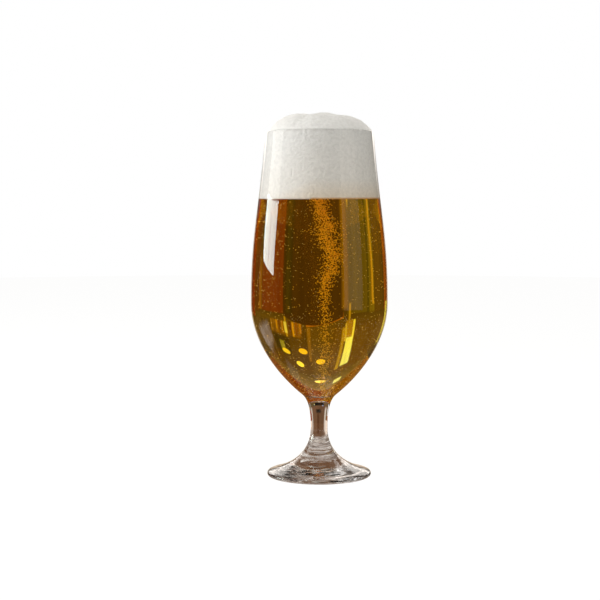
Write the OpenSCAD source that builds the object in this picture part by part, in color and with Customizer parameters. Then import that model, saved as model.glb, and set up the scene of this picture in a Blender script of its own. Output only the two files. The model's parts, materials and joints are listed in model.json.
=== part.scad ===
// Stemmed beer glass, filled: a footed glass of one drawn and blown piece,
// the beer that stands in its bowl and the head of foam above the lip.
// Millimetres, +Z up. The origin is the centre of the foot, on the table.

/* [Lip] */
// Height of the glass from the table to the top of the lip
glass_h = 196.7; // [180:0.1:215]
// Outer diameter of the lip
rim_d = 61.2; // [54:0.2:68]
// Thickness of the rounded lip
rim_wall = 1.3; // [1:0.1:2.2]
// Lean of the wall below the lip, in degrees from upright
rim_lean = 4.7; // [1:0.1:9]

/* [Bowl] */
// Outer diameter of the bowl at its widest
belly_d = 78; // [70:0.5:86]
// Height of the widest place above the table
belly_z = 99; // [88:0.5:112]
// Thickness of the wall at the widest place
belly_wall = 1.6; // [1.1:0.1:2.6]
// Reach of the upper curve from the lip, as a share of its rise
lip_reach = 0.47; // [0.3:0.01:0.6]
// Reach of the upper curve above the belly, as a share of its rise
shoulder_reach = 0.41; // [0.25:0.01:0.55]
// Reach of the lower curve below the belly, as a share of its rise
hip_reach = 0.43; // [0.3:0.01:0.55]
// Reach of the lower curve above the stem, as a share of its rise
seat_reach = 0.31; // [0.2:0.01:0.45]

/* [Stem] */
// Outer diameter where the bowl turns into the stem
neck_d = 19.6; // [16:0.2:24]
// Height of that turn above the table
neck_z = 46.7; // [43:0.1:51]
// Lean of the wall at that turn, in degrees from upright
neck_lean = 51; // [44:0.5:58]
// Thickness of the glass at that turn, which sets the floor of the bowl
floor_wall = 4.2; // [3:0.1:5.5]
// Diameter of the stem at its thinnest
stem_d = 9.6; // [8:0.1:12]
// Height of the thinnest place above the table
stem_z = 27.6; // [24:0.2:32]
// Tightness of the turn from the bowl into the stem, as a share of its rise
neck_reach = 0.2; // [0.1:0.01:0.35]
// Reach of the straight stem above its thinnest place, as a share of the rise
stem_reach = 0.6; // [0.4:0.01:0.75]

/* [Foot] */
// Diameter of the foot
foot_d = 59.6; // [54:0.2:68]
// Thickness of the foot's rounded edge
foot_edge = 2.6; // [1.8:0.1:3.6]
// Slope of the foot's top at its edge, in degrees from level
foot_slope = 14; // [8:0.5:20]
// Reach of the stem's flare below the thinnest place, as a share of the drop
flare_reach = 0.36; // [0.2:0.01:0.5]
// Reach of the foot's slope in from its edge, as a share of the foot's width
slope_reach = 0.82; // [0.6:0.01:0.95]
// Width of the flat ring that the foot stands on
ring_w = 2.4; // [1.5:0.1:4]
// Height of the hollow under the middle of the foot
hollow_h = 2.2; // [1:0.1:3.5]

/* [Beer] */
// Height of the top of the beer above the table
beer_z = 158.4; // [136:0.2:176]

/* [Foam] */
// Rise of the foam above the lip, at its middle
foam_rise = 9; // [6:0.1:14]
// Steepness of the foam's edge at the lip, in degrees from level
foam_edge_lean = 44; // [38:1:70]
// Reach of the foam's edge, as a share of its rise
foam_edge_reach = 1.1; // [0.6:0.01:1.25]
// Reach of the foam's flat crown, as a share of its radius
foam_crown_reach = 0.62; // [0.45:0.01:0.8]
// Radius of each lump's ball
lump_r = 22; // [16:0.5:25]
// How far the tallest lump stands proud of the crown
lump_rise = 1.2; // [0.3:0.1:1.4]

/* [Hidden] */
$fn = 96;

// Points on each long curve, on each short one and on each small round
long_n = 18;
short_n = 12;
round_n = 6;
// The soft lumps in the foam's crown: each one's turn about the axis in degrees,
// its place along the crown's curve, from 0 at the lip to 1 in the middle, and
// its rise as a share of the tallest lump's
LUMPS = [
    [191, 0.69, 1], [300, 0.9, 1], [353, 0.6, 0.5], [103, 0.73, 0.8],
    [45, 0.61, 0.7], [139, 0.57, 0.8], [263, 0.62, 0.6], [305, 0.54, 0.5],
    [225, 0.56, 0.7]
];

glass_colour = [0.86, 0.9, 0.9, 0.45];
beer_colour = [0.6, 0.34, 0.05];
foam_colour = [0.97, 0.95, 0.9];

// A point in the section is [distance from the axis, height].
function along(lean) = [sin(lean), cos(lean)];
function unit(v) = v / norm(v);
function bez(h, t) =
    pow(1 - t, 3) * h[0] + 3 * t * pow(1 - t, 2) * h[1]
    + 3 * t * t * (1 - t) * h[2] + pow(t, 3) * h[3];
function bez_way(h, t) =
    unit(pow(1 - t, 2) * (h[1] - h[0]) + 2 * t * (1 - t) * (h[2] - h[1])
    + t * t * (h[3] - h[2]));
// The point that lies a given depth to the right of the curve's way
function bez_in(h, t, depth) = let (w = bez_way(h, t)) bez(h, t) + depth * [w.y, -w.x];
function arc(centre, r, from, to, n) =
    [for (i = [0 : n]) let (a = from + (to - from) * i / n) centre + r * [cos(a), sin(a)]];
function mix(a, b, share) = a + (b - a) * share;

// Lip: a half round between the outer and the inner wall
lip_r = rim_wall / 2;
lip_c = [rim_d / 2 - lip_r, glass_h - lip_r];
lip_arc = arc(lip_c, lip_r, 180 + rim_lean, rim_lean, 2 * round_n);
lip_outer = lip_arc[2 * round_n];

// Outer wall, from the lip down to the belly, the neck, the stem and the foot
belly = [belly_d / 2, belly_z];
neck = [neck_d / 2, neck_z];
waist = [stem_d / 2, stem_z];
upper_rise = glass_h - belly_z;
lower_rise = belly_z - neck_z;
stem_rise = neck_z - stem_z;
edge_r = foot_edge / 2;
edge_c = [foot_d / 2 - edge_r, edge_r];
foot_top = edge_c + edge_r * along(foot_slope);
foot_w = (foot_d - stem_d) / 2;

upper_curve = [
    lip_outer,
    lip_outer + lip_reach * upper_rise * [sin(rim_lean), -cos(rim_lean)],
    belly + [0, shoulder_reach * upper_rise],
    belly
];
lower_curve = [
    belly,
    belly - [0, hip_reach * lower_rise],
    neck + seat_reach * lower_rise * along(neck_lean),
    neck
];
neck_curve = [
    neck,
    neck - neck_reach * stem_rise * along(neck_lean),
    waist + [0, stem_reach * stem_rise],
    waist
];
foot_curve = [
    waist,
    waist - [0, flare_reach * (stem_z - foot_edge)],
    foot_top + slope_reach * foot_w * [-cos(foot_slope), sin(foot_slope)],
    foot_top
];

// Inner wall: the outer one set in by a thickness that grows towards the neck
function wall_at(share) = mix(belly_wall, floor_wall, pow(share, 3));
inner_upper = [for (i = [0 : long_n]) let (t = i / long_n)
    bez_in(upper_curve, t, mix(rim_wall, belly_wall, t))];
inner_lower = [for (i = [1 : long_n]) let (t = i / long_n)
    bez_in(lower_curve, t, wall_at(t))];

// Floor: a round bottom that runs on smoothly from the inner wall
floor_edge = inner_lower[long_n - 1];
floor_turn = 90 - neck_lean;
floor_r = floor_edge.x / sin(floor_turn);
floor_c = [0, floor_edge.y + floor_r * cos(floor_turn)];
floor_arc = arc(floor_c, floor_r, -90, -90 + floor_turn, round_n);

// Cavity, from the middle of its floor up to the lip
cavity_side = concat(
    floor_arc,
    [for (i = [long_n - 2 : -1 : 0]) inner_lower[i]],
    [for (i = [long_n : -1 : 0]) inner_upper[i]]
);
cavity_top = cavity_side[len(cavity_side) - 1];

// Hollow under the foot: a shallow dome inside the standing ring
ring_out = edge_c.x;
ring_in = ring_out - ring_w;
hollow_r = (ring_in * ring_in + hollow_h * hollow_h) / (2 * hollow_h);
hollow_turn = asin(ring_in / hollow_r);

module glass_section() {
    polygon(concat(
        lip_arc,
        [for (i = [1 : long_n]) bez(upper_curve, i / long_n)],
        [for (i = [1 : long_n]) bez(lower_curve, i / long_n)],
        [for (i = [1 : short_n]) bez(neck_curve, i / short_n)],
        [for (i = [1 : long_n]) bez(foot_curve, i / long_n)],
        [for (i = [1 : round_n]) let (a = mix(90 - foot_slope, -90, i / round_n))
            edge_c + edge_r * [cos(a), sin(a)]],
        [for (i = [0 : round_n]) let (a = hollow_turn * (1 - i / round_n))
            [hollow_r * sin(a), hollow_h - hollow_r * (1 - cos(a))]],
        [for (i = [0 : len(cavity_side) - 2]) cavity_side[i]]
    ));
}

module cavity_section() {
    polygon(concat(cavity_side, [[0, cavity_top.y]]));
}

// Glass: lip, bowl, stem and foot are one piece
module glass() {
    color(glass_colour)
        rotate_extrude() glass_section();
}

// Beer: fills the cavity from its floor to the beer's level
module beer() {
    color(beer_colour)
        rotate_extrude()
            intersection() {
                cavity_section();
                square([belly_d, beer_z]);
            }
}

// Foam: fills the cavity above the beer, laps over the inner half of the lip
// and stands above it as a crown
foam_rim = lip_arc[round_n];
foam_curve = [
    foam_rim,
    foam_rim + foam_edge_reach * foam_rise * [-cos(foam_edge_lean), sin(foam_edge_lean)],
    [foam_crown_reach * foam_rim.x, glass_h + foam_rise],
    [0, glass_h + foam_rise]
];

module foam_section() {
    difference() {
        polygon(concat(
            cavity_side,
            [for (i = [1 : round_n]) lip_arc[i]],
            [for (i = [1 : long_n]) bez(foam_curve, i / long_n)]
        ));
        square([belly_d, beer_z]);
    }
}

// Lumps: balls sunk in the crown, so that only their tops stand proud of it
module lumps() {
    for (lump = LUMPS) {
        // The curve runs in towards the axis, so its right side is the air
        at = bez_in(foam_curve, lump[1], lump[2] * lump_rise - lump_r);
        rotate([0, 0, lump[0]])
            translate([at.x, 0, at.y])
                sphere(r = lump_r);
    }
}

module foam_head() {
    color(foam_colour) {
        rotate_extrude() foam_section();
        intersection() {
            lumps();
            translate([0, 0, glass_h])
                cylinder(h = foam_rise + lump_r, r = foam_rim.x);
        }
    }
}

glass();
beer();
foam_head();
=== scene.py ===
"""A stemmed beer glass, filled: drawn clear glass, amber beer with rising bubbles, and a head of foam.

The camera stands in front, at -Y. Sizes are in metres, or in millimetres where a name says so."""

import json
import math
import random

import bpy
import bmesh
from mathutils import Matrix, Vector

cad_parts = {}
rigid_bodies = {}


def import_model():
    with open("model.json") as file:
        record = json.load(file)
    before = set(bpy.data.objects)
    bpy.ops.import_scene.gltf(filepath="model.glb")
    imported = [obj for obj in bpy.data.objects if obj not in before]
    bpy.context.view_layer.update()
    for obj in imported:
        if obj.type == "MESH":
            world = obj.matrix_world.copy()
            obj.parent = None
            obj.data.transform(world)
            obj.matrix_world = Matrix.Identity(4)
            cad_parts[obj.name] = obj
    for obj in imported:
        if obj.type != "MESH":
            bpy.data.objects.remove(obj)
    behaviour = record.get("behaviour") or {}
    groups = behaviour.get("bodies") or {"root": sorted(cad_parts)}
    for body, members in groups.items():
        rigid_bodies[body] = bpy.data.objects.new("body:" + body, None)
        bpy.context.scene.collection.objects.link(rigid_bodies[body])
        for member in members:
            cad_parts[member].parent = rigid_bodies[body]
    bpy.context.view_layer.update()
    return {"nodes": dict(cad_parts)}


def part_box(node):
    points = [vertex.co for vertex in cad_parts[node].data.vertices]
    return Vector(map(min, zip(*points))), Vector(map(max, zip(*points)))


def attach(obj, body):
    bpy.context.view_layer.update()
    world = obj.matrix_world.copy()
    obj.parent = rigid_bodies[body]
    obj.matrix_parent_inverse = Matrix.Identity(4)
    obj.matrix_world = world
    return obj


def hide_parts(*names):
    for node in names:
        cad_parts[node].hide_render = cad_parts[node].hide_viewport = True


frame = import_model()

MM = 0.001
LIP_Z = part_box("glass")[1].z
FLOOR_Z, BEER_Z = (corner.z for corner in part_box("beer"))
FOAM_FOOT_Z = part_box("foam_head")[0].z

# Beer and foam wet the glass: they reach this far into its wall, so that no film of air is left
WETTING = 0.1 * MM
TURN_STEPS = 192
GLASS_IOR = 1.5
BEER_IOR = 1.335

# Points nearer than this are one point: in a CAD node's mesh, and where a turned shell meets itself
WELD = 0.001 * MM
SEAM = 0.002 * MM
# Most values of a noise texture lie between these two
NOISE_LOW, NOISE_HIGH = 0.35, 0.65
WHITE = (1, 1, 1, 1)


# Small helpers

def linear(hex_colour):
    """An sRGB hex colour as linear RGBA."""
    out = []
    for i in (0, 2, 4):
        c = int(hex_colour[i:i + 2], 16) / 255
        out.append(c / 12.92 if c <= 0.04045 else ((c + 0.055) / 1.055) ** 2.4)
    return (*out, 1.0)


def add_node(tree, kind, links=(), **settings):
    """Adds a shader node. A setting is an input's value by its name, or else the node's own property.
    links are (from socket, input name or number)."""
    node = tree.nodes.new(kind)
    for name, value in settings.items():
        label = name.replace("_", " ")
        if hasattr(node, name):
            setattr(node, name, value)
        else:
            node.inputs[label].default_value = value
    for source, to in links:
        tree.links.new(source, node.inputs[to])
    return node


def set_ramp(ramp, stops):
    """Gives a colour ramp its (position, hex colour) stops, lowest first. A ramp starts with two stops,
    which become the first two."""
    for number, (position, hex_colour) in enumerate(stops):
        stop = ramp.elements[number] if number < 2 else ramp.elements.new(position)
        stop.position = position
        stop.color = linear(hex_colour)


def blend(a, b, share):
    return a + (b - a) * share


def new_material(name):
    mat = bpy.data.materials.new(name)
    mat.use_nodes = True
    mat.node_tree.nodes.clear()
    return mat, mat.node_tree


def finish_material(tree, surface, volume=None):
    out = add_node(tree, "ShaderNodeOutputMaterial", [(surface, "Surface")])
    if volume:
        tree.links.new(volume, out.inputs["Volume"])


def pick(obj):
    """Makes obj the one selected and active object."""
    for other in bpy.context.view_layer.objects:
        other.select_set(other == obj)
    bpy.context.view_layer.objects.active = obj


def apply_modifier(obj, kind, **settings):
    """Adds a modifier with its settings and applies it."""
    pick(obj)
    modifier = obj.modifiers.new(kind.lower(), kind)
    for name, value in settings.items():
        setattr(modifier, name, value)
    bpy.ops.object.modifier_apply(modifier=modifier.name)


def copy_of_node(node, name):
    """A copy of a CAD node's mesh as a new object, with its loose triangles merged."""
    obj = bpy.data.objects.new(name, frame["nodes"][node].data.copy())
    obj.data.materials.clear()
    bpy.context.scene.collection.objects.link(obj)
    pick(obj)
    bpy.ops.object.mode_set(mode="EDIT")
    bpy.ops.mesh.select_all(action="SELECT")
    bpy.ops.mesh.remove_doubles(threshold=WELD)
    bpy.ops.mesh.customdata_custom_splitnormals_clear()
    bpy.ops.object.mode_set(mode="OBJECT")
    return obj


def select_where(obj, test):
    """In edit mode, selects only the vertices whose place passes the test."""
    bpy.ops.mesh.select_mode(type="VERT")
    bpy.ops.mesh.select_all(action="DESELECT")
    mesh = bmesh.from_edit_mesh(obj.data)
    for v in mesh.verts:
        v.select_set(test(v.co))
    mesh.select_flush_mode()
    bmesh.update_edit_mesh(obj.data)


def keep_section(obj):
    """Deletes all of obj but its section: the edges that lie in the plane Y = 0, on the +X side."""
    pick(obj)
    bpy.ops.object.mode_set(mode="EDIT")
    select_where(obj, lambda co: abs(co.y) > SEAM or co.x < -SEAM)
    bpy.ops.mesh.delete(type="VERT")
    bpy.ops.mesh.select_all(action="SELECT")
    bpy.ops.mesh.delete(type="ONLY_FACE")
    bpy.ops.object.mode_set(mode="OBJECT")


def spin_section(obj):
    """Turns obj's section round the Z axis into a smooth shell. It is open where the section has no edge."""
    pick(obj)
    bpy.ops.object.mode_set(mode="EDIT")
    bpy.ops.mesh.select_all(action="SELECT")
    bpy.ops.mesh.spin(steps=TURN_STEPS, angle=2 * math.pi, center=(0, 0, 0), axis=(0, 0, 1))
    bpy.ops.mesh.select_all(action="SELECT")
    bpy.ops.mesh.remove_doubles(threshold=SEAM)
    bpy.ops.mesh.normals_make_consistent(inside=False)
    bpy.ops.object.mode_set(mode="OBJECT")
    bpy.ops.object.shade_smooth()


def fatten(obj, reach):
    """Moves every point of obj out along its normal."""
    pick(obj)
    bpy.ops.object.mode_set(mode="EDIT")
    bpy.ops.mesh.select_all(action="SELECT")
    bpy.ops.transform.shrink_fatten(value=reach)
    bpy.ops.object.mode_set(mode="OBJECT")


def dress(obj, material, slot, *nodes):
    """Gives a finished piece its material and its body, and hides the CAD nodes that it stands for."""
    obj.data.materials.clear()
    obj.data.materials.append(material)
    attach(obj, "root")
    if nodes:
        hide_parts(*nodes)


# Materials

def let_light_through(tree, surface):
    """Light passes a clear surface straight on its way to the foam, the bubbles and the floor."""
    clear = add_node(tree, "ShaderNodeBsdfTransparent", Color=linear("F8F8F8"))
    path = add_node(tree, "ShaderNodeLightPath")
    light = add_node(tree, "ShaderNodeMath", [
        (path.outputs["Is Shadow Ray"], 0), (path.outputs["Is Diffuse Ray"], 1)], operation="MAXIMUM")
    both = add_node(tree, "ShaderNodeMixShader", [
        (light.outputs[0], 0), (surface, 1), (clear.outputs[0], 2)])
    return both.outputs[0]


# The marks in the foot: their length, the gap from one to the next outwards, their depth, and the
# heights between which they fade out up the stem
MARK_LENGTH = 20 * MM
MARK_GAP = 3.6 * MM
MARK_DEPTH = 0.5 * MM
MARKS_FADE_FROM, MARKS_FADE_TO = 12 * MM, 24 * MM


def foot_marks(tree):
    """The faint rings that pressing and polishing leave in the foot. They break up what it mirrors."""
    place = add_node(tree, "ShaderNodeTexCoord")
    parts = add_node(tree, "ShaderNodeSeparateXYZ", [(place.outputs["Object"], 0)])
    level = add_node(tree, "ShaderNodeVectorMath", [(place.outputs["Object"], 0)], operation="MULTIPLY")
    level.inputs[1].default_value = (1, 1, 0)
    reach = add_node(tree, "ShaderNodeVectorMath", [(level.outputs[0], 0)], operation="LENGTH")
    around = add_node(tree, "ShaderNodeVectorMath", [(place.outputs["Object"], 0)], operation="SCALE",
                      Scale=1 / MARK_LENGTH)
    across = add_node(tree, "ShaderNodeMath", [(reach.outputs["Value"], 0)], operation="DIVIDE")
    across.inputs[1].default_value = MARK_GAP
    ring = add_node(tree, "ShaderNodeCombineXYZ", [(across.outputs[0], "X")])
    at = add_node(tree, "ShaderNodeVectorMath", [(around.outputs[0], 0), (ring.outputs[0], 1)],
                  operation="ADD")
    marks = add_node(tree, "ShaderNodeTexNoise", [(at.outputs[0], "Vector")], Scale=1.0, Detail=2.0)
    fade = add_node(tree, "ShaderNodeMapRange", [(parts.outputs["Z"], "Value")],
                    From_Min=MARKS_FADE_FROM, From_Max=MARKS_FADE_TO, To_Min=1.0, To_Max=0.0)
    relief = add_node(tree, "ShaderNodeMath", [(marks.outputs[0], 0), (fade.outputs[0], 1)],
                      operation="MULTIPLY")
    return add_node(tree, "ShaderNodeBump", [(relief.outputs[0], "Height")],
                    Strength=1.0, Distance=MARK_DEPTH).outputs[0]


def clear_glass():
    """Soda-lime glass, drawn and fire polished: clear and very smooth, with sharp reflections."""
    mat, tree = new_material("soda_lime_glass")
    glass = add_node(tree, "ShaderNodeBsdfPrincipled", [(foot_marks(tree), "Normal")],
                     Base_Color=WHITE, Roughness=0.0, IOR=GLASS_IOR, Transmission_Weight=1.0)
    finish_material(tree, let_light_through(tree, glass.outputs[0]))
    return mat


def wetted_glass():
    """The same glass where beer or wet foam lies against it: it bends light less there and mirrors almost
    nothing."""
    mat, tree = new_material("soda_lime_glass_against_beer")
    glass = add_node(tree, "ShaderNodeBsdfPrincipled", Base_Color=WHITE, Roughness=0.0,
                     IOR=GLASS_IOR / BEER_IOR, Transmission_Weight=1.0)
    finish_material(tree, let_light_through(tree, glass.outputs[0]))
    return mat


# What the beer keeps of red, green and blue, and how fast it takes up the rest, per metre
BEER_TINT = (0.954, 0.845, 0.0, 1.0)
BEER_DENSITY = 54.0


def amber_beer():
    """Filtered lager: bright amber that deepens with the length of the way through it. Across the
    bowl it lets through most of the red, over half of the green and almost no blue. The glass that it
    wets bends the light, so its own skin is only clear."""
    mat, tree = new_material("filtered_lager")
    skin = add_node(tree, "ShaderNodeBsdfTransparent", Color=WHITE)
    depth = add_node(tree, "ShaderNodeVolumeAbsorption", Color=BEER_TINT, Density=BEER_DENSITY)
    finish_material(tree, skin.outputs[0], depth.outputs[0])
    return mat


# The foam's tones, from its foot at 0 to the lip at 1: amber where it meets the beer, then creamy, then
# nearly white. The warmth low down is partly beer soaked into the foam and partly painted warm light from
# the beer.
FOAM_TONES = ((0.0, "E0AA6C"), (0.012, "E4B47C"), (0.028, "F0E2CE"), (0.3, "F4F0E9"), (1.0, "F6F5F2"))
# Painted light: on the lit left, up to the first of these, the foam takes the tone that it has this share of
# its height further up, so that the painted warm light from the beer shows only towards the shaded right
PAINTED_COOL_X, PAINTED_WARM_X = -30 * MM, -4 * MM
PAINTED_COOL_LIFT = 0.3
FOAM_CELL = 1.6 * MM
FOAM_CELL_DEPTH = 0.7 * MM
# Painted shade: what is left of the foam's tone in the gaps between its cells
CELL_SHADE = 0.9


def white_foam():
    """Beer foam: a mass of fine bubbles, matt and nearly white. Beer that drains out of it makes its foot
    creamy, and painted warm light from the beer deepens that, apart from on its lit left side, which is
    painted paler. Its cells are drawn coarser than they are, so that they show, with painted shade in the
    gaps between them."""
    mat, tree = new_material("beer_foam")
    place = add_node(tree, "ShaderNodeTexCoord")
    parts = add_node(tree, "ShaderNodeSeparateXYZ", [(place.outputs["Object"], 0)])
    height = add_node(tree, "ShaderNodeMapRange", [(parts.outputs["Z"], "Value")],
                      From_Min=FOAM_FOOT_Z, From_Max=LIP_Z)
    # Painted light: the lit left side takes the paler tone of foam higher up
    painted_cool_side = add_node(tree, "ShaderNodeMapRange", [(parts.outputs["X"], "Value")],
                   From_Min=PAINTED_COOL_X, From_Max=PAINTED_WARM_X, To_Min=PAINTED_COOL_LIFT, To_Max=0.0)
    level = add_node(tree, "ShaderNodeMath", [(height.outputs[0], 0), (painted_cool_side.outputs[0], 1)], operation="ADD")
    soak_and_painted_warmth = add_node(tree, "ShaderNodeValToRGB", [(level.outputs[0], 0)])
    set_ramp(soak_and_painted_warmth.color_ramp, FOAM_TONES)
    cells = add_node(tree, "ShaderNodeTexNoise", [(place.outputs["Object"], "Vector")],
                     Scale=1 / FOAM_CELL, Detail=3.0)
    bump = add_node(tree, "ShaderNodeBump", [(cells.outputs[0], "Height")],
                    Strength=1.0, Distance=FOAM_CELL_DEPTH)
    # Painted shade in the gaps between the cells
    shade = add_node(tree, "ShaderNodeMapRange", [(cells.outputs[0], "Value")],
                     From_Min=NOISE_LOW, From_Max=NOISE_HIGH, To_Min=CELL_SHADE, To_Max=1.0)
    tone = add_node(tree, "ShaderNodeVectorMath", [(soak_and_painted_warmth.outputs[0], 0), (shade.outputs[0], "Scale")],
                    operation="SCALE")
    foam = add_node(tree, "ShaderNodeBsdfPrincipled",
                    [(tone.outputs[0], "Base Color"), (bump.outputs[0], "Normal")],
                    Roughness=0.55, Specular_IOR_Level=0.3)
    finish_material(tree, foam.outputs[0])
    return mat


def bubble_gas(name, painted_glow_colour, glow):
    """Carbon dioxide bubbles: each one is a tiny bright bead. Its pale gold colour is a painted reflection
    of the amber round it, and its glow is painted light that stands in for light going to and fro in the
    beer."""
    mat, tree = new_material(name)
    bead = add_node(tree, "ShaderNodeBsdfPrincipled", Base_Color=linear("F4C884"), Roughness=0.25,
                    Emission_Color=linear(painted_glow_colour), Emission_Strength=glow)
    finish_material(tree, bead.outputs[0])
    return mat


# Pieces

def make_glass():
    """The glass, spun from its section. Where beer and foam lie against it, it is wetted."""
    obj = copy_of_node("glass", "clear_glass")
    keep_section(obj)
    spin_section(obj)
    dress(obj, clear_glass(), "clear_glass", "glass")
    obj.data.materials.append(wetted_glass())
    floor_reach = 10 * MM
    nearly_up = 0.9
    margin = MM
    for face in obj.data.polygons:
        faces_axis = face.normal.x * face.center.x + face.normal.y * face.center.y < 0
        on_floor = face.normal.z > nearly_up and face.center.xy.length < floor_reach
        if FLOOR_Z - margin < face.center.z < LIP_Z - margin and (faces_axis or on_floor):
            face.material_index = 1


def make_beer():
    """The beer, spun from its section and pressed a little into the glass. The solid's flat top has no
    point on the axis, so the shell is open there, under the foam."""
    obj = copy_of_node("beer", "amber_beer")
    keep_section(obj)
    spin_section(obj)
    fatten(obj, WETTING)
    dress(obj, amber_beer(), "amber_beer", "beer")
    return obj


# The dimples in the foam's crown: their size and depth, and the height over the lip by which they are full
PUFF_SIZE = 2.6 * MM
PUFF_DEPTH = 0.5 * MM
CROWN_FADE = 3 * MM
FOAM_VOXEL = 0.7 * MM


def make_foam():
    """The foam head: the solid's form, remeshed fine enough for small soft dimples in its crown."""
    form = copy_of_node("foam_head", "foam_form")
    fatten(form, WETTING)
    obj = form.copy()
    obj.name = "white_foam"
    obj.data = form.data.copy()
    bpy.context.scene.collection.objects.link(obj)
    apply_modifier(obj, "REMESH", mode="VOXEL", voxel_size=FOAM_VOXEL)
    apply_modifier(obj, "SHRINKWRAP", target=form, wrap_method="NEAREST_SURFACEPOINT")
    bpy.data.objects.remove(form)
    crown = obj.vertex_groups.new(name="crown")
    for v in obj.data.vertices:
        crown.add([v.index], min(1, max(0, (v.co.z - LIP_Z) / CROWN_FADE)), "REPLACE")
    puffs = bpy.data.textures.new("puffs", "CLOUDS")
    puffs.noise_scale = PUFF_SIZE
    puffs.noise_depth = 2
    apply_modifier(obj, "DISPLACE", texture=puffs, texture_coords="LOCAL", strength=PUFF_DEPTH,
                   mid_level=0.5, vertex_group="crown")
    obj.vertex_groups.clear()
    bpy.ops.object.shade_smooth()
    dress(obj, white_foam(), "white_foam", "foam_head")


def unit_bead():
    """The mesh of one bubble: a ball of 20 faces with a radius of 1, at the origin."""
    bpy.ops.object.select_all(action="DESELECT")
    bpy.ops.mesh.primitive_ico_sphere_add(subdivisions=1, radius=1.0)
    obj = bpy.context.object
    mesh = obj.data
    bpy.data.objects.remove(obj)
    return mesh


def scatter_beads(name, places):
    """One piece made of a bead at each (place, radius)."""
    unit = unit_bead()
    mesh = bmesh.new()
    for place, radius in places:
        first = len(mesh.verts)
        mesh.from_mesh(unit)
        mesh.verts.ensure_lookup_table()
        for v in mesh.verts[first:]:
            v.co = v.co * radius + place
    data = bpy.data.meshes.new(name)
    mesh.to_mesh(data)
    mesh.free()
    obj = bpy.data.objects.new(name, data)
    bpy.context.scene.collection.objects.link(obj)
    pick(obj)
    bpy.ops.object.shade_smooth()
    return obj


# The plume of bubbles that rises from the floor of the bowl: height, middle and half width in mm, and
# how crowded it is
PLUME_MM = [
    (52, 1.2, 1.6, 0.3), (60, 1.6, 2.8, 0.25), (72, 2.6, 3.4, 0.25), (92, 2.8, 3.4, 0.3),
    (106, 2.2, 3.2, 0.45), (112, 3, 4.2, 0.7), (118, 5, 4.6, 0.85), (127, 5.8, 4.6, 0.9),
    (133, 4.1, 5.6, 0.9), (138, 2.5, 7.2, 1), (144, 3.4, 6, 0.9), (149, 1, 4, 0.8), (158, -0.3, 4.6, 0.8)
]
PLUME_SEED = 5
PLUME_COUNT = 3300
PLUME_LOW_MM, PLUME_HIGH_MM = 53, 157.5
# A bubble's offset from the plume's middle varies by this share of the half width
PLUME_SPREAD = 0.45
PLUME_BEAD_MM = (0.15, 0.33)
# Bubbles grow as they rise
GROWN_AT_FLOOR, GROWN_AT_TOP = 0.75, 1.05

STRAY_SEED = 7
STRAY_COUNT = 1300
STRAY_BEAD_MM = (0.1, 0.2)
# Strays keep within this share of the beer's radius, and out of this share of the area inside it
STRAY_REACH = 0.92
STRAY_CLEAR = 0.25
# Strays stay this far under the foam
STRAY_DEPTH = 3 * MM
# The beer's radius is read at this many steps of height, and a stray hangs up to this far over one
PROFILE_STEPS = 40
STRAY_LIFT_MM = 2.5


def plume_at(z_mm):
    """The plume's middle and half width at a height, all in mm, and how crowded it is."""
    for low, high in zip(PLUME_MM, PLUME_MM[1:]):
        if low[0] <= z_mm <= high[0]:
            share = (z_mm - low[0]) / (high[0] - low[0])
            return [blend(a, b, share) for a, b in zip(low[1:], high[1:])]
    return PLUME_MM[-1][1:]


def bowl_radius(obj):
    """The beer's radius at even heights from its floor to its top, as a list of (height, radius)."""
    gap = (BEER_Z - FLOOR_Z) / PROFILE_STEPS
    widest = [0.0] * (PROFILE_STEPS + 1)
    for v in obj.data.vertices:
        number = min(PROFILE_STEPS, max(0, round((v.co.z - FLOOR_Z) / gap)))
        widest[number] = max(widest[number], v.co.xy.length)
    return [(FLOOR_Z + number * gap, radius) for number, radius in enumerate(widest) if radius]


def make_plume():
    """The bubbles that rise from the floor of the bowl."""
    chance = random.Random(PLUME_SEED)
    places = []
    while len(places) < PLUME_COUNT:
        z = chance.uniform(PLUME_LOW_MM, PLUME_HIGH_MM)
        middle, half, crowd = plume_at(z)
        if chance.uniform(0, 1) > crowd:
            continue
        x = middle + half * chance.gauss(0, PLUME_SPREAD)
        y = half * chance.gauss(0, PLUME_SPREAD)
        grown = blend(GROWN_AT_FLOOR, GROWN_AT_TOP, (z - PLUME_LOW_MM) / (PLUME_HIGH_MM - PLUME_LOW_MM))
        places.append((Vector((x, y, z)) * MM, grown * chance.uniform(*PLUME_BEAD_MM) * MM))
    obj = scatter_beads("bubbles", places)
    # The gold colour and the glow of the bubbles are painted light
    dress(obj, bubble_gas("rising_bubbles", "FFBC60", 0.08), "amber_beer")


def make_strays(beer):
    """The bubbles that hang all round the beer, between its middle and the wall."""
    chance = random.Random(STRAY_SEED)
    profile = bowl_radius(beer)
    places = []
    while len(places) < STRAY_COUNT:
        height, widest = chance.choice(profile)
        radius = STRAY_REACH * widest * math.sqrt(chance.uniform(STRAY_CLEAR, 1))
        if height < BEER_Z - STRAY_DEPTH:
            turn = chance.uniform(0, 2 * math.pi)
            z = height + chance.uniform(0, STRAY_LIFT_MM) * MM
            places.append((Vector((radius * math.cos(turn), radius * math.sin(turn), z)),
                           chance.uniform(*STRAY_BEAD_MM) * MM))
    obj = scatter_beads("stray_bubbles", places)
    # The gold colour and the glow of the bubbles are painted light
    dress(obj, bubble_gas("stray_bubbles", "FFE4A8", 0.26), "amber_beer")


# Stage: a pale floor, a dark room that only the glass and the beer show, soft light and the camera

CAMERA_PLACE = (-0.011, -0.8, 0.1613)
# In degrees below level
CAMERA_DIP = 4.32
CAMERA_LENS_MM = 84.3
CAMERA_SENSOR_MM = 36
# The light that the world gives to all that isn't clear or glossy
FILL_STRENGTH = 0.48
FLOOR_RADIUS = 2.0
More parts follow.
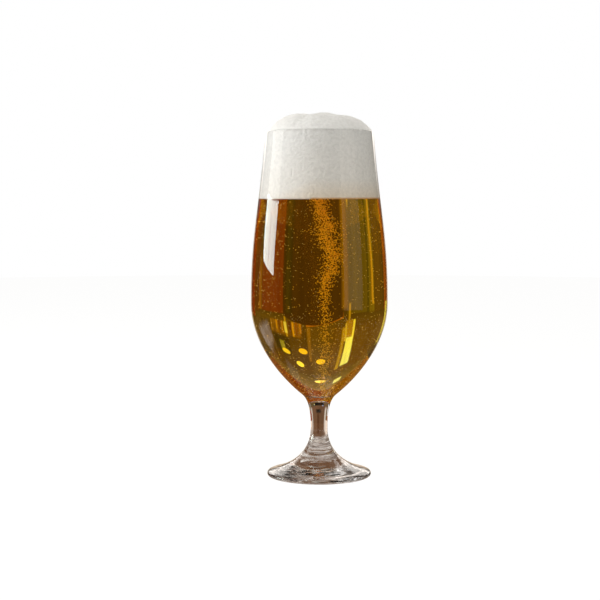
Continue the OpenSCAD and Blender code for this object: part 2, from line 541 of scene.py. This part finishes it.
# The camera sees the floor as this share of a plain glow and the rest of lit card, so that it is white
# and its shadow faint
FLOOR_GLOW = 1.12
FLOOR_GLOW_SHARE = 0.8


def stage_object(obj, material):
    obj.data.materials.clear()
    obj.data.materials.append(material)


def make_camera():
    data = bpy.data.cameras.new("camera")
    data.lens = CAMERA_LENS_MM
    data.sensor_width = CAMERA_SENSOR_MM
    camera = bpy.data.objects.new("camera", data)
    bpy.context.scene.collection.objects.link(camera)
    camera.location = CAMERA_PLACE
    camera.rotation_euler = (math.radians(90 - CAMERA_DIP), 0, 0)
    bpy.context.scene.camera = camera


def make_world():
    """White behind all that the camera, glass and gloss see, and a plain fill for the rest."""
    world = bpy.data.worlds.new("studio")
    bpy.context.scene.world = world
    world.use_nodes = True
    tree = world.node_tree
    tree.nodes.clear()
    seen = add_node(tree, "ShaderNodeBackground", Color=WHITE, Strength=1.0)
    fill = add_node(tree, "ShaderNodeBackground", Color=linear("FFFCF4"), Strength=FILL_STRENGTH)
    path = add_node(tree, "ShaderNodeLightPath")
    seen_by = path.outputs["Is Camera Ray"]
    for also in ("Is Glossy Ray", "Is Transmission Ray"):
        seen_by = add_node(tree, "ShaderNodeMath", [(seen_by, 0), (path.outputs[also], 1)],
                           operation="MAXIMUM").outputs[0]
    mix = add_node(tree, "ShaderNodeMixShader", [(seen_by, 0), (fill.outputs[0], 1), (seen.outputs[0], 2)])
    add_node(tree, "ShaderNodeOutputWorld", [(mix.outputs[0], "Surface")])


def pale_floor():
    """Matt pale card. The camera sees it white, apart from a part of its shadows."""
    mat, tree = new_material("pale_card")
    card = add_node(tree, "ShaderNodeBsdfDiffuse", Color=linear("F0F0F0"))
    glow = add_node(tree, "ShaderNodeEmission", Color=WHITE, Strength=FLOOR_GLOW)
    path = add_node(tree, "ShaderNodeLightPath")
    share = add_node(tree, "ShaderNodeMath", [(path.outputs["Is Camera Ray"], 0)],
                     operation="MULTIPLY")
    share.inputs[1].default_value = FLOOR_GLOW_SHARE
    mix = add_node(tree, "ShaderNodeMixShader", [
        (share.outputs[0], 0), (card.outputs[0], 1), (glow.outputs[0], 2)])
    finish_material(tree, mix.outputs[0])
    return mat


def make_floor():
    bpy.ops.object.select_all(action="DESELECT")
    bpy.ops.mesh.primitive_circle_add(vertices=96, radius=FLOOR_RADIUS, fill_type="NGON")
    floor = bpy.context.object
    floor.name = "floor"
    stage_object(floor, pale_floor())
    floor.visible_glossy = False
    floor.visible_transmission = False


def glow_material(name, hex_colour, strength):
    mat, tree = new_material(name)
    glow = add_node(tree, "ShaderNodeEmission", Color=linear(hex_colour), Strength=strength)
    finish_material(tree, glow.outputs[0])
    return mat


def only_in_glass(obj, mirrored):
    """The camera, the lamps and matt surfaces don't see it. It is only in what the glass mirrors, or else
    only in what is seen through glass and beer."""
    obj.visible_camera = False
    obj.visible_diffuse = False
    obj.visible_shadow = False
    obj.visible_volume_scatter = False
    obj.visible_glossy = mirrored
    obj.visible_transmission = not mirrored


# The room is seen only in the glass and the beer, which turn it left to right. Bearings are in degrees
# from straight behind the glass, clockwise from above, and rises in degrees from level, both as seen
# from the middle of the beer.
ROOM_RADIUS = 1.6
EYE_Z = 0.11
# How far in from the wall the panels hang, how far apart their layers are, and how far in the globes hang
PANEL_GAP = 0.05
LAYER_GAP = 0.01
GLOBE_GAP = 0.1
# The width of the upright streaks on a panel
STREAK_WIDTH = 70 * MM


def room_point(bearing, rise, radius):
    """The point at a bearing and a rise, this far from the middle of the beer."""
    a, e = math.radians(bearing), math.radians(rise)
    return Vector((radius * math.sin(a) * math.cos(e), radius * math.cos(a) * math.cos(e),
                   EYE_Z + radius * math.sin(e)))


def soft_glow(name, hex_colour, strength, blur, mottle):
    """A lit surface out of focus. blur is the share of its width and height that fades at each side,
    and mottle is how much its upright streaks vary."""
    mat, tree = new_material(name)
    place = add_node(tree, "ShaderNodeTexCoord")
    folds = add_node(tree, "ShaderNodeMapping", [(place.outputs["Object"], "Vector")], Scale=(1, 1, 0.25))
    streaks = add_node(tree, "ShaderNodeTexNoise", [(folds.outputs[0], "Vector")],
                       Scale=1 / STREAK_WIDTH, Detail=2.0)
    power = add_node(tree, "ShaderNodeMapRange", [(streaks.outputs[0], "Value")],
                     From_Min=NOISE_LOW, From_Max=NOISE_HIGH,
                     To_Min=strength * (1 - mottle), To_Max=strength * (1 + mottle))
    glow = add_node(tree, "ShaderNodeEmission", [(power.outputs[0], "Strength")], Color=linear(hex_colour))
    sides = add_node(tree, "ShaderNodeSeparateXYZ", [(place.outputs["UV"], 0)])
    shares = []
    for axis, share in zip("XY", blur):
        off = add_node(tree, "ShaderNodeMath", [(sides.outputs[axis], 0)], operation="SUBTRACT")
        off.inputs[1].default_value = 0.5
        far = add_node(tree, "ShaderNodeMath", [(off.outputs[0], 0)], operation="ABSOLUTE")
        fade = add_node(tree, "ShaderNodeMapRange", [(far.outputs[0], "Value")], From_Min=0.5 - share,
                        From_Max=0.5, To_Min=1.0, To_Max=0.0, interpolation_type="SMOOTHSTEP")
        shares.append(fade.outputs[0])
    shown = add_node(tree, "ShaderNodeMath", [(shares[0], 0), (shares[1], 1)], operation="MULTIPLY")
    clear = add_node(tree, "ShaderNodeBsdfTransparent")
    mix = add_node(tree, "ShaderNodeMixShader", [
        (shown.outputs[0], 0), (clear.outputs[0], 1), (glow.outputs[0], 2)])
    finish_material(tree, mix.outputs[0])
    return mat


def make_panel(name, hex_colour, foot, rise, head=None, layer=0, strength=1.0, blur=0.6, mottle=0.12,
               slant=(0, 0), bulge=0, mirrored=False):
    """A panel on the wall. foot and head are the bearings of its two sides there, with the head as the
    foot where none is given, and rise is the rise of each. slant tips them, bulge rounds the head, and
    blur is the width in degrees of the faded edge."""
    head = head or foot
    bpy.ops.object.select_all(action="DESELECT")
    bpy.ops.mesh.primitive_grid_add(x_subdivisions=24, y_subdivisions=8, size=2)
    obj = bpy.context.object
    obj.name = name
    radius = ROOM_RADIUS - PANEL_GAP - LAYER_GAP * layer
    for v in obj.data.vertices:
        across, up = (v.co.x + 1) / 2, (v.co.y + 1) / 2
        bearing = blend(blend(*foot, across), blend(*head, across), up)
        low = rise[0] + slant[0] * (across - 0.5)
        high = rise[1] + slant[1] * (across - 0.5) + bulge * (1 - v.co.x * v.co.x)
        v.co = room_point(bearing, blend(low, high, up), radius)
    width, height = abs(head[1] - head[0]), rise[1] - rise[0]
    shares = min(0.5, blur / width), min(0.5, blur / height)
    stage_object(obj, soft_glow(name, hex_colour, strength, shares, mottle))
    only_in_glass(obj, mirrored)


def mirror_panel(name, hex_colour, foot, rise, **settings):
    """A panel that only the outside of the glass shows."""
    make_panel(name, hex_colour, foot, rise, mirrored=True, **settings)


def make_low_panel(name, hex_colour, bearings, heights_mm, reach_mm, blur=(0.2, 0.2), mottle=0.0):
    """A low, bent panel that stands on the table close behind the glass. Only the stem and the foot show
    it, because the bowl looks over it. blur is the share of its width and height that fades."""
    bpy.ops.object.select_all(action="DESELECT")
    bpy.ops.mesh.primitive_grid_add(x_subdivisions=24, y_subdivisions=4, size=2)
    obj = bpy.context.object
    obj.name = name
    for v in obj.data.vertices:
        turn = math.radians(blend(*bearings, (v.co.x + 1) / 2))
        height = blend(*heights_mm, (v.co.y + 1) / 2)
        v.co = Vector((reach_mm * math.sin(turn), reach_mm * math.cos(turn), height)) * MM
    stage_object(obj, soft_glow(name, hex_colour, 1, blur, mottle))
    only_in_glass(obj, mirrored=False)


def make_globe(name, hex_colour, bearing, rise, width, height, strength):
    """A round ceiling lamp, seen from below as an oval. Its width and height are in degrees."""
    bpy.ops.object.select_all(action="DESELECT")
    bpy.ops.mesh.primitive_circle_add(vertices=32, radius=1, fill_type="NGON")
    obj = bpy.context.object
    obj.name = name
    for v in obj.data.vertices:
        v.co = room_point(bearing + v.co.x * width / 2, rise + v.co.y * height / 2,
                          ROOM_RADIUS - GLOBE_GAP)
    stage_object(obj, glow_material(name, hex_colour, strength))
    only_in_glass(obj, mirrored=False)


# Tones of the walls at rises in degrees, as seen through the glass and as its outside mirrors them
SEEN_TONES = (
    (-90, "8A8076"), (-14, "6A5844"), (-2, "5A4A38"), (1, "6E5A40"), (22, "6E5E4C"), (33, "8A7C70"),
    (40, "AAA094"), (90, "B8B0A6")
)
MIRRORED_TONES = (
    (-90, "8A8078"), (-60, "7A7068"), (-46, "1A1410"), (16, "1A1410"), (24, "8A827A"), (40, "8A827A"),
    (90, "B0A8A0")
)


def room_wall(name, tones_by_rise):
    """Dull walls and a ceiling, in tones that change with the rise."""
    mat, tree = new_material(name)
    place = add_node(tree, "ShaderNodeTexCoord")
    parts = add_node(tree, "ShaderNodeSeparateXYZ", [(place.outputs["Object"], 0)])
    rise = add_node(tree, "ShaderNodeMapRange", [(parts.outputs["Z"], "Value")],
                    From_Min=-ROOM_RADIUS, From_Max=ROOM_RADIUS)
    tones = add_node(tree, "ShaderNodeValToRGB", [(rise.outputs[0], 0)])
    set_ramp(tones.color_ramp, [
        ((math.sin(math.radians(degrees)) + 1) / 2, colour) for degrees, colour in tones_by_rise])
    glow = add_node(tree, "ShaderNodeEmission", [(tones.outputs[0], "Color")], Strength=1.0)
    finish_material(tree, glow.outputs[0])
    return mat


def make_wall(name, tones_by_rise, mirrored):
    bpy.ops.object.select_all(action="DESELECT")
    bpy.ops.mesh.primitive_uv_sphere_add(segments=64, ring_count=32, radius=ROOM_RADIUS,
                                         location=(0, 0, EYE_Z))
    wall = bpy.context.object
    wall.name = name
    stage_object(wall, room_wall(name, tones_by_rise))
    only_in_glass(wall, mirrored)


TABLE_RADIUS = 0.35
# Just under the floor, which only the camera and the lamps' light meet
TABLE_Z = -0.5 * MM
GRAIN_WIDTH = 12 * MM
# The grain shows in full up to the first reach from the foot's middle, and not at all past the second
GRAIN_REACH, FAR_REACH = 36 * MM, 62 * MM
# Past the grain the table is brown before and behind the foot, and pale beside it. These are the sines
# of the angles from the Y axis where one tone starts to change into the other, and where it has
SHADE_SINE, PALE_SINE = 0.4, 0.62
# A level direction to the back and left. The window lights what lies far enough the other way
BACK_LEFT = (-0.8, 1, 0)


def table_grain(tree, place):
    """Wood with pale streaks of window light."""
    stretch = add_node(tree, "ShaderNodeMapping", [(place.outputs["Object"], "Vector")], Scale=(1, 4, 1))
    grain = add_node(tree, "ShaderNodeTexNoise", [(stretch.outputs[0], "Vector")],
                     Scale=1 / GRAIN_WIDTH, Detail=3.0)
    tones = add_node(tree, "ShaderNodeValToRGB", [(grain.outputs[0], 0)])
    set_ramp(tones.color_ramp, ((0.38, "5E5046"), (0.5, "A2948A"), (0.62, "FFF8F0")))
    return tones.outputs[0]


def table_far_off(tree, parts, reach):
    """The table past the foot: brown in the glass's own shade before and behind it, pale beside it."""
    aside = add_node(tree, "ShaderNodeMath", [(parts.outputs["X"], 0), (reach.outputs["Value"], 1)],
                     operation="DIVIDE")
    off_axis = add_node(tree, "ShaderNodeMath", [(aside.outputs[0], 0)], operation="ABSOLUTE")
    side = add_node(tree, "ShaderNodeMapRange", [(off_axis.outputs[0], "Value")],
                    From_Min=SHADE_SINE, From_Max=PALE_SINE)
    far = add_node(tree, "ShaderNodeMix", [(side.outputs[0], "Factor")], data_type="RGBA")
    far.inputs["A"].default_value = linear("74543A")
    far.inputs["B"].default_value = linear("C8B6A6")
    return far.outputs["Result"]


def table_daylight(tree, place, parts):
    """How strongly the window lights the table: most in front and to the right, and somewhat to the
    far left."""
    back = add_node(tree, "ShaderNodeVectorMath", [(place.outputs["Object"], 0)],
                    operation="DOT_PRODUCT")
    back.inputs[1].default_value = BACK_LEFT
    lit = add_node(tree, "ShaderNodeMapRange", [(back.outputs["Value"], "Value")],
                   From_Min=-50 * MM, From_Max=-10 * MM, To_Min=3.4, To_Max=1.0)
    sunny = add_node(tree, "ShaderNodeMapRange", [(parts.outputs["X"], "Value")],
                     From_Min=-45 * MM, From_Max=-20 * MM, To_Min=1.8, To_Max=1.0)
    return add_node(tree, "ShaderNodeMath", [(lit.outputs[0], 0), (sunny.outputs[0], 1)],
                    operation="MAXIMUM").outputs[0]


def table_top():
    """The table round the foot, lit by the window. Only the glass shows it."""
    mat, tree = new_material("table_top")
    place = add_node(tree, "ShaderNodeTexCoord")
    parts = add_node(tree, "ShaderNodeSeparateXYZ", [(place.outputs["Object"], 0)])
    reach = add_node(tree, "ShaderNodeVectorMath", [(place.outputs["Object"], 0)], operation="LENGTH")
    near = add_node(tree, "ShaderNodeMapRange", [(reach.outputs["Value"], "Value")],
                    From_Min=GRAIN_REACH, From_Max=FAR_REACH, To_Min=1.0, To_Max=0.0)
    shown = add_node(tree, "ShaderNodeMix", [
        (near.outputs[0], "Factor"), (table_far_off(tree, parts, reach), "A"),
        (table_grain(tree, place), "B")], data_type="RGBA")
    glow = add_node(tree, "ShaderNodeEmission", [
        (shown.outputs["Result"], "Color"), (table_daylight(tree, place, parts), "Strength")])
    finish_material(tree, glow.outputs[0])
    return mat


def make_table():
    bpy.ops.object.select_all(action="DESELECT")
    bpy.ops.mesh.primitive_circle_add(vertices=64, radius=TABLE_RADIUS, fill_type="NGON",
                                      location=(0, 0, TABLE_Z))
    table = bpy.context.object
    table.name = "table_top"
    stage_object(table, table_top())
    only_in_glass(table, mirrored=False)


def hang_plaster():
    """Walls above the table's level: warm to the left, darker to the right."""
    make_panel("plaster_left", "745A3C", (-64, -3), (1, 24), blur=3)
    make_panel("plaster_right", "64502E", (3, 64), (1, 24), blur=3)


def hang_table_level():
    """What stands at the table's level and below: the far table straight behind, wood to the right of it,
    seats to the left, and brick at both ends."""
    make_panel("wood_panel", "7E4432", (15.2, 33), (-12, -1), layer=1)
    make_panel("door_shade", "4D4430", (10.6, 15.2), (-12, -0.6), layer=5, blur=1.6, mottle=0.2)
    make_panel("wood_streak", "A17050", (33, 38), (-6.4, -1), layer=2, blur=1)
    make_panel("wood_end", "6F4430", (37, 47), (-12, 0), layer=1)
    make_panel("brick_right", "A0442C", (47, 80), (-14, 4), layer=1)
    make_panel("table_edge", "D08838", (-8.5, 5.8), (-2, 1.1), layer=2, blur=0.2, mottle=0.1,
               slant=(0, 2.6), bulge=0.5)
    make_panel("dark_table", "513C26", (-8.4, 15.8), (-12, -0.6), layer=4, blur=0.25, mottle=0.1,
               bulge=2.6)
    make_panel("post", "7E4820", (6.4, 7.6), (-9, -2), layer=3)
    make_panel("olive_seat", "71653E", (-22, -9.6), (-12, -1), layer=1)
    make_panel("seat_side", "60582E", (-24.6, -21.4), (-12, -1), layer=1)
    make_panel("seat_edge", "A07E3C", (-11.2, -7), (-12, -2), layer=5, blur=1.8, mottle=0.3)
    make_panel("brass_rail", "D0A85C", (-24.8, -22.6), (-8.2, -3.2), head=(-29.4, -26.2), layer=3,
               blur=0.8, mottle=0.3)
    make_panel("rail_shine", "8A7A3A", (-28.4, -22), (-9, 0), head=(-30, -23), layer=2, blur=2)
    make_panel("dark_seat", "6E5632", (-44, -28), (-12, 0), layer=1, blur=1)
    make_panel("brick_left", "B4683C", (-80, -46), (-14, 0), layer=1)


# Upright warm streaks on the shelf behind the glass: bearing, colour and the rise of the head. Below
# them is how wide each is at its foot and at its head, in degrees.
SHELF_STREAKS = [
    (8.2, "D8A030", 5), (9.8, "8A5A28", 5.7), (11.4, "E0B040", 6.4), (12.8, "6A4020", 5),
    (16.8, "C89830", 5.7), (18.6, "7A5020", 6.4), (20.4, "D0A038", 5), (22.4, "94702C", 5.7),
    (24.4, "B08834", 6.4)
]
STREAK_FOOT, STREAK_HEAD = 1.6, 1.2


def hang_shelf_and_door():
    """A shelf, a door frame and a pipe, all to the right of straight behind."""
    make_panel("door_frame", "D8B850", (14.4, 15.8), (-2.4, 7), head=(14.2, 15.6), layer=3)
    make_panel("door_gap", "F0F0FF", (14.2, 16.2), (1.2, 5.6), head=(14, 16), layer=4, strength=1.15,
               blur=0.5)
    make_panel("shelf", "8E6A38", (7.4, 25.4), (0.8, 6.6), layer=1, blur=0.8, mottle=0.3)
    make_panel("shelf_shade", "443A28", (14, 25), (6.4, 14.5), layer=1, blur=1.4)
    make_panel("shelf_panel", "A0A48C", (17.4, 20.8), (8.6, 14.4), head=(17.8, 21), layer=2, blur=0.5)
    for number, (bearing, colour, top) in enumerate(SHELF_STREAKS):
        foot = (bearing - STREAK_FOOT / 2, bearing + STREAK_FOOT / 2)
        head = (bearing - STREAK_HEAD / 2, bearing + STREAK_HEAD / 2)
        make_panel(f"shelf_streak_{number}", colour, foot, (1, top), head=head, layer=2, strength=1.1,
                   blur=0.5, mottle=0.3)
    make_panel("pipe", "98784C", (3.8, 6), (2, 15), layer=2, blur=0.8)


def hang_windows():
    """A bright window to the left of straight behind, one far to the left, and one in the roof."""
    make_panel("window_frame", "C8AC50", (-10, -8.2), (2.5, 20), head=(-10.6, -8), layer=2, blur=0.8)
    make_panel("window_sill", "D8B848", (-12, -10.5), (-4.4, 1), layer=3, blur=0.7)
    make_panel("window_foot", "BC9950", (-14.2, -9.6), (0.4, 8), head=(-14.2, -9.8), layer=3, blur=0.5)
    make_panel("window_side", "FFFFE0", (-14.6, -13.2), (0.4, 8), head=(-14.8, -13.2), layer=4,
               strength=1.15, blur=0.4)
    make_panel("window_post", "ECD8A0", (-10.5, -9.4), (1.4, 8), head=(-11.2, -9.8), layer=4, blur=0.4)
    make_panel("window", "C8D6FF", (-14.4, -10.4), (6.2, 18.8), head=(-16.8, -10.8), layer=5,
               strength=2.1, blur=0.8)
    make_panel("far_window", "FFFFFF", (-60, -50), (-4, 22), head=(-64, -48), layer=3, strength=1.2)
    make_panel("roof_light", "E0ECFF", (-18.5, -11.5), (27.6, 33), head=(-20, -12.5), layer=3,
               strength=1.8, blur=0.8)


# Ceiling lamps: name, colour, bearing, rise, width, height and strength
GLOBES = [
    ("lamp_middle", "FFE060", 0, 14.4, 4.6, 2.2, 1.5),
    ("lamp_low", "FFD850", 8.2, 10.9, 4.2, 2.1, 1.4),
    ("lamp_high", "FFF6C0", 11.4, 17, 4.4, 2.6, 1.6),
    ("lamp_right", "FFE880", 18, 13, 5.0, 2.2, 1.3),
    ("lamp_near", "FFE8C8", 0, 26, 9, 2.2, 2.2)
]


def stand_tray():
    """Close behind the glass: the brown edge of a tray between paler ends, with its shade above it."""
    make_low_panel("tray_edge", "6C4C34", (-34, 42), (2, 50), 48, (0.25, 0.06), 0.3)
    make_low_panel("tray_grip", "1C1812", (-9, 15), (34, 43), 46, (0.35, 0.4))
    make_low_panel("tray_seam", "54321C", (-2, 11), (6, 38), 47, (0.5, 0.2))
    make_low_panel("tray_side", "D8C8B8", (-34, -18), (8, 50), 47, (0.4, 0.2))
    make_low_panel("tray_corner", "C8B8A8", (27, 42), (12, 50), 47, (0.4, 0.2))
    make_low_panel("tray_shade", "1C1610", (-18, 18), (48, 62), 49)


def hang_side_walls():
    """Beside the table, for the foot: pale walls with streaks of daylight."""
    make_panel("side_wall", "C0B4AC", (56, 106), (3, 30), layer=3, blur=3, mottle=0.7)
    make_panel("side_window", "ECE8E4", (-108, -64), (-8, 24), layer=3, strength=1.2, blur=3, mottle=0.7)


def hang_mirrored_room():
    """What the outside of the glass mirrors: a tall window whose upper part has a blind, pale walls, and
    the table that the window lights."""
    mirror_panel("tall_window", "F1FFF7", (-97, -70.2), (1.1, 10.6), head=(-97, -64.5), layer=2,
                 strength=12, blur=0.14, mottle=0.04, slant=(1.6, -2.8))
    mirror_panel("window_blind", "FFFCF4", (-97, -64.5), (10.4, 44), head=(-98, -60), layer=1,
                 strength=1.7, blur=0.4, mottle=0.04, slant=(-2.8, 0))
    mirror_panel("mullion", "DCD8D0", (-84.4, -82.8), (2, 10), head=(-82, -80.6), layer=3, strength=9.6,
                 mottle=0.04)
    mirror_panel("pale_wall", "B8B0A4", (104, 140), (-9, 34), layer=2, strength=1.2, blur=1)
    mirror_panel("back_wall", "C8C0B8", (-32, 32), (5.5, 30), head=(-40, 40), layer=1, strength=2,
                 blur=2.2, mottle=0.6)
    mirror_panel("back_sill", "F4ECE4", (-36, 36), (3, 30), layer=2, strength=3.2, blur=8, mottle=0.5)
    mirror_panel("back_window", "F0ECE8", (-6, 50), (37, 50), head=(-6, 60), layer=2, strength=3, blur=3,
                 mottle=0.6)
    mirror_panel("far_table", "86683C", (-62, 62), (-44, -9), layer=1, blur=4, mottle=0.2)
    mirror_panel("far_room", "C8B49C", (-24, 24), (-17, 4.5), layer=2, strength=1.3, blur=3, mottle=0.2)
    mirror_panel("lit_table", "E8DCD0", (-80, -50), (-36, -14), head=(-84, -40), layer=2, strength=1.7,
                 blur=7, mottle=0.4)
    mirror_panel("lit_table_near", "C8C4BC", (-80, -42), (-64, -46), layer=2, strength=0.9, blur=5,
                 mottle=0.2)


def make_room():
    make_wall("room_wall", SEEN_TONES, mirrored=False)
    make_wall("mirrored_wall", MIRRORED_TONES, mirrored=True)
    make_table()
    hang_plaster()
    hang_table_level()
    hang_shelf_and_door()
    hang_windows()
    for globe in GLOBES:
        make_globe(*globe)
    stand_tray()
    hang_side_walls()
    hang_mirrored_room()


# Lamps: name, place, width and height, and watts. All of them look at the same point.
LAMPS = [
    ("key", (-1.05, -0.06, 0.4), (0.4, 0.7), 6.9),
    ("top", (0, -0.4, 1.1), (0.6, 0.6), 2.7)
]
LAMPS_LOOK_AT = Vector((0, 0, 0.15))


def make_lamp(name, at, size, watts):
    data = bpy.data.lights.new(name, "AREA")
    data.shape = "RECTANGLE"
    data.size, data.size_y = size
    data.energy = watts
    lamp = bpy.data.objects.new(name, data)
    bpy.context.scene.collection.objects.link(lamp)
    lamp.location = at
    lamp.rotation_euler = (LAMPS_LOOK_AT - Vector(at)).to_track_quat("-Z", "Y").to_euler()
    lamp.visible_glossy = False
    lamp.visible_transmission = False


make_glass()
make_plume()
make_strays(make_beer())
make_foam()
make_camera()
make_world()
make_floor()
make_room()
for lamp in LAMPS:
    make_lamp(*lamp)

bpy.context.scene.view_settings.view_transform = "Standard"
